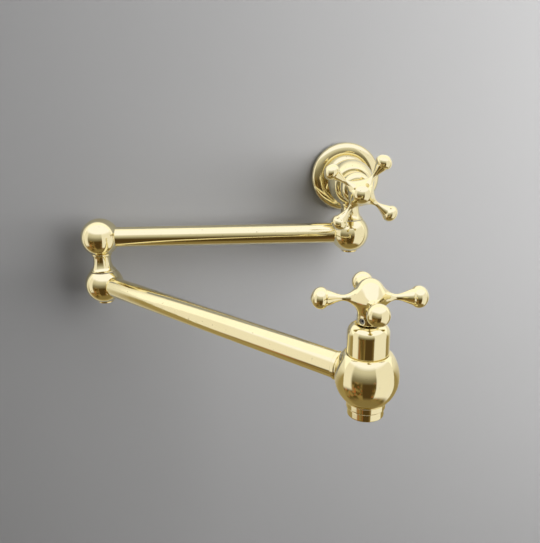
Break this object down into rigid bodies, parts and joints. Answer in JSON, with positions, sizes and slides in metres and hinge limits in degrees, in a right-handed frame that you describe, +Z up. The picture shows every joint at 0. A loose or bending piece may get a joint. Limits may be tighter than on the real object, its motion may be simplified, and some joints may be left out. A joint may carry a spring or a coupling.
{
  "type": "wall mounted pot filler",
  "caption": "Wall mounted pot filler: folding double-jointed brass arm with ball joints, a cross handle valve at the wall and another above the spout.",
  "frame": {"origin": "inlet axis at the face of the wall", "axes": "+X along the wall to the viewer's right, +Y into the wall along the inlet, +Z up"},
  "size_m": [0.2866, 0.2963, 0.1553],
  "materials": {
    "polished_brass": "mirror polished, unlacquered",
    "machined_brass": "machined",
    "black_rubber": "matt moulded rubber",
    "ceramic": "lapped white ceramic",
    "ptfe": "smooth white low-friction plastic",
    "stainless_steel": "plain stainless steel",
    "aerator_plastic": "moulded grey-white plastic"
  },
  "bodies": {
    "wall_valve": {"flange_gasket": "black_rubber", "wall_flange": "polished_brass", "flange_o_ring": "black_rubber", "inlet_shank": "machined_brass", "wall_valve_body": "polished_brass", "wall_bonnet_sleeve": "polished_brass", "wall_cartridge_housing": "machined_brass", "wall_seat_seal": "black_rubber", "wall_fixed_disc": "ceramic", "wall_swivel_neck": "polished_brass", "wall_swivel_o_rings": "black_rubber", "wall_swivel_clip": "stainless_steel"},
    "wall_handle": {"wall_cross_handle": "polished_brass", "wall_set_screw": "stainless_steel", "wall_spindle": "machined_brass", "wall_spindle_o_ring": "black_rubber", "wall_moving_disc": "ceramic"},
    "upper_arm": {"wall_ball": "polished_brass", "wall_swivel_washer": "ptfe", "wall_ball_cap": "polished_brass", "upper_arm_tube": "polished_brass", "elbow_ball": "polished_brass", "elbow_neck": "polished_brass", "elbow_o_rings": "black_rubber", "elbow_clip": "stainless_steel"},
    "lower_arm": {"lower_elbow_ball": "polished_brass", "elbow_washer": "ptfe", "elbow_ball_cap": "polished_brass", "lower_arm_tube": "polished_brass", "tube_collar": "polished_brass", "spout_valve_body": "polished_brass", "spout_bonnet_sleeve": "polished_brass", "spout_cartridge_housing": "machined_brass", "spout_seat_seal": "black_rubber", "spout_fixed_disc": "ceramic", "aerator_shell": "polished_brass", "aerator_insert": "aerator_plastic", "aerator_washer": "black_rubber"},
    "spout_handle": {"spout_cross_handle": "polished_brass", "spout_set_screw": "stainless_steel", "spout_spindle": "machined_brass", "spout_spindle_o_ring": "black_rubber", "spout_moving_disc": "ceramic"}
  },
  "joints": [
    {"name": "wall_swivel", "type": "hinge", "parent": "wall_valve", "child": "upper_arm", "pos_m": [0, -0.038, -0.0478], "axis": [0, 0, 1], "range_deg": [0, 180]},
    {"name": "elbow_swivel", "type": "hinge", "parent": "upper_arm", "child": "lower_arm", "pos_m": [-0.2355, -0.038, -0.0938], "axis": [0, 0, 1], "range_deg": [-316.8, 43.2]},
    {"name": "wall_handle_turn", "type": "hinge", "parent": "wall_valve", "child": "wall_handle", "pos_m": [0, -0.0926, 0], "axis": [0, -1, 0], "range_deg": [0, 90]},
    {"name": "spout_handle_turn", "type": "hinge", "parent": "lower_arm", "child": "spout_handle", "pos_m": [-0.01958, -0.24076, -0.0392], "axis": [0, 0, 1], "range_deg": [0, 90]}
  ]
}
